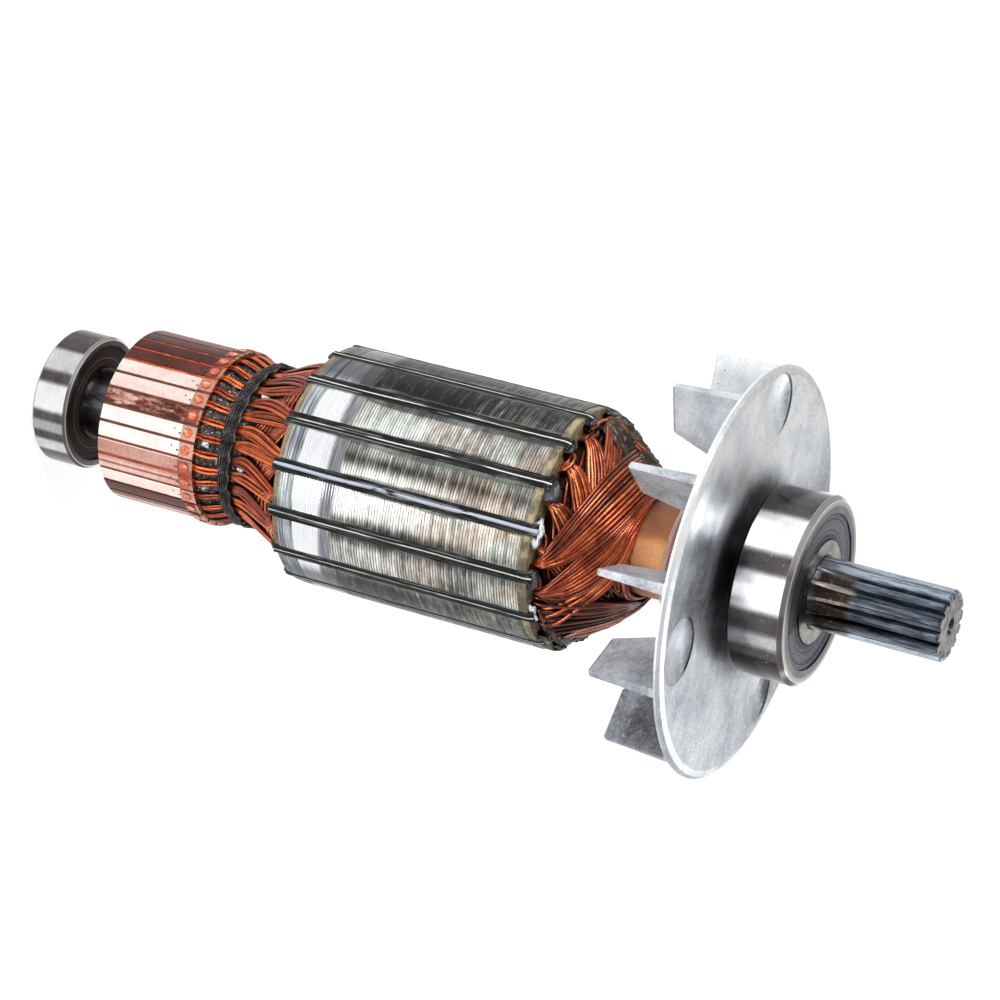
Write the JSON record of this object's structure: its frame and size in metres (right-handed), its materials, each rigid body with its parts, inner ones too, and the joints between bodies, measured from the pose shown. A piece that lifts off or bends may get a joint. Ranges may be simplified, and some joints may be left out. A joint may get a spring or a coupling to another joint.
{
  "type": "motor armature",
  "caption": "Wound motor armature on a shaft: commutator, slotted laminated core, cast fan, sealed ball bearings at both ends and a splined output end.",
  "frame": {"origin": "centre of the rear bearing's end face, on which the armature stands", "axes": "+Z along the shaft from the rear bearing to the splined end; +X towards one of the core's slots"},
  "size_m": [0.0698, 0.0698, 0.1683],
  "materials": {
    "shaft_steel": "ground, blued at the spline",
    "ring_steel": "ground and polished",
    "ball_steel": "polished",
    "cage_plastic": "matt",
    "rear_seal_rubber": "matt",
    "front_seal_rubber": "matt",
    "bar_copper": "turned, partly tarnished",
    "mica": "matt",
    "moulding": "moulded",
    "bush_steel": "turned",
    "wire_end_copper": "fused",
    "wire_enamel": "enamelled copper wire",
    "resin": "dripped resin",
    "cord": "waxed cord",
    "core_steel": "turned stack",
    "fibre": "pressed fibre",
    "liner": "varnished paper",
    "coil_copper": "enamelled wire in resin",
    "wedge_resin": "varnished",
    "tube_fibre": "wound fibre",
    "fan_alloy": "cast"
  },
  "bodies": {
    "rotor": {"shaft": "shaft_steel", "rear_bearing_inner_ring": "ring_steel", "front_bearing_inner_ring": "ring_steel", "commutator_bars": "bar_copper", "commutator_mica": "mica", "commutator_hub": "moulding", "commutator_bush": "bush_steel", "fused_wire_ends": "wire_end_copper", "lead_wires": "wire_enamel", "lead_resin": "resin", "binding_cord": "cord", "core_laminations": "core_steel", "rear_end_plate": "fibre", "front_end_plate": "fibre", "slot_liners": "liner", "slot_coils": "coil_copper", "slot_wedges": "wedge_resin", "front_end_winding": "coil_copper", "rear_end_winding": "coil_copper", "insulating_tube": "tube_fibre", "fan": "fan_alloy"},
    "rear_outer_race": {"rear_bearing_outer_ring": "ring_steel", "rear_bearing_rear_seal": "rear_seal_rubber", "rear_bearing_front_seal": "rear_seal_rubber"},
    "rear_ball_set": {"rear_bearing_balls": "ball_steel", "rear_bearing_cage": "cage_plastic"},
    "front_outer_race": {"front_bearing_outer_ring": "ring_steel", "front_bearing_rear_seal": "front_seal_rubber", "front_bearing_front_seal": "front_seal_rubber"},
    "front_ball_set": {"front_bearing_balls": "ball_steel", "front_bearing_cage": "cage_plastic"}
  },
  "joints": [
    {"name": "rear_bearing_spin", "type": "hinge", "parent": "rotor", "child": "rear_outer_race", "pos_m": [0, 0, 0.0035], "axis": [0, 0, 1], "continuous": true},
    {"name": "rear_balls_roll", "type": "hinge", "parent": "rotor", "child": "rear_ball_set", "pos_m": [0, 0, 0.0035], "axis": [0, 0, 1], "continuous": true},
    {"name": "front_bearing_spin", "type": "hinge", "parent": "rotor", "child": "front_outer_race", "pos_m": [0, 0, 0.1408], "axis": [0, 0, 1], "continuous": true},
    {"name": "front_balls_roll", "type": "hinge", "parent": "rotor", "child": "front_ball_set", "pos_m": [0, 0, 0.1408], "axis": [0, 0, 1], "continuous": true}
  ],
  "couplings": [
    {"joint": "rear_balls_roll", "follows": "rear_bearing_spin", "ratio": 0.6203},
    {"joint": "front_balls_roll", "follows": "front_bearing_spin", "ratio": 0.6352}
  ]
}
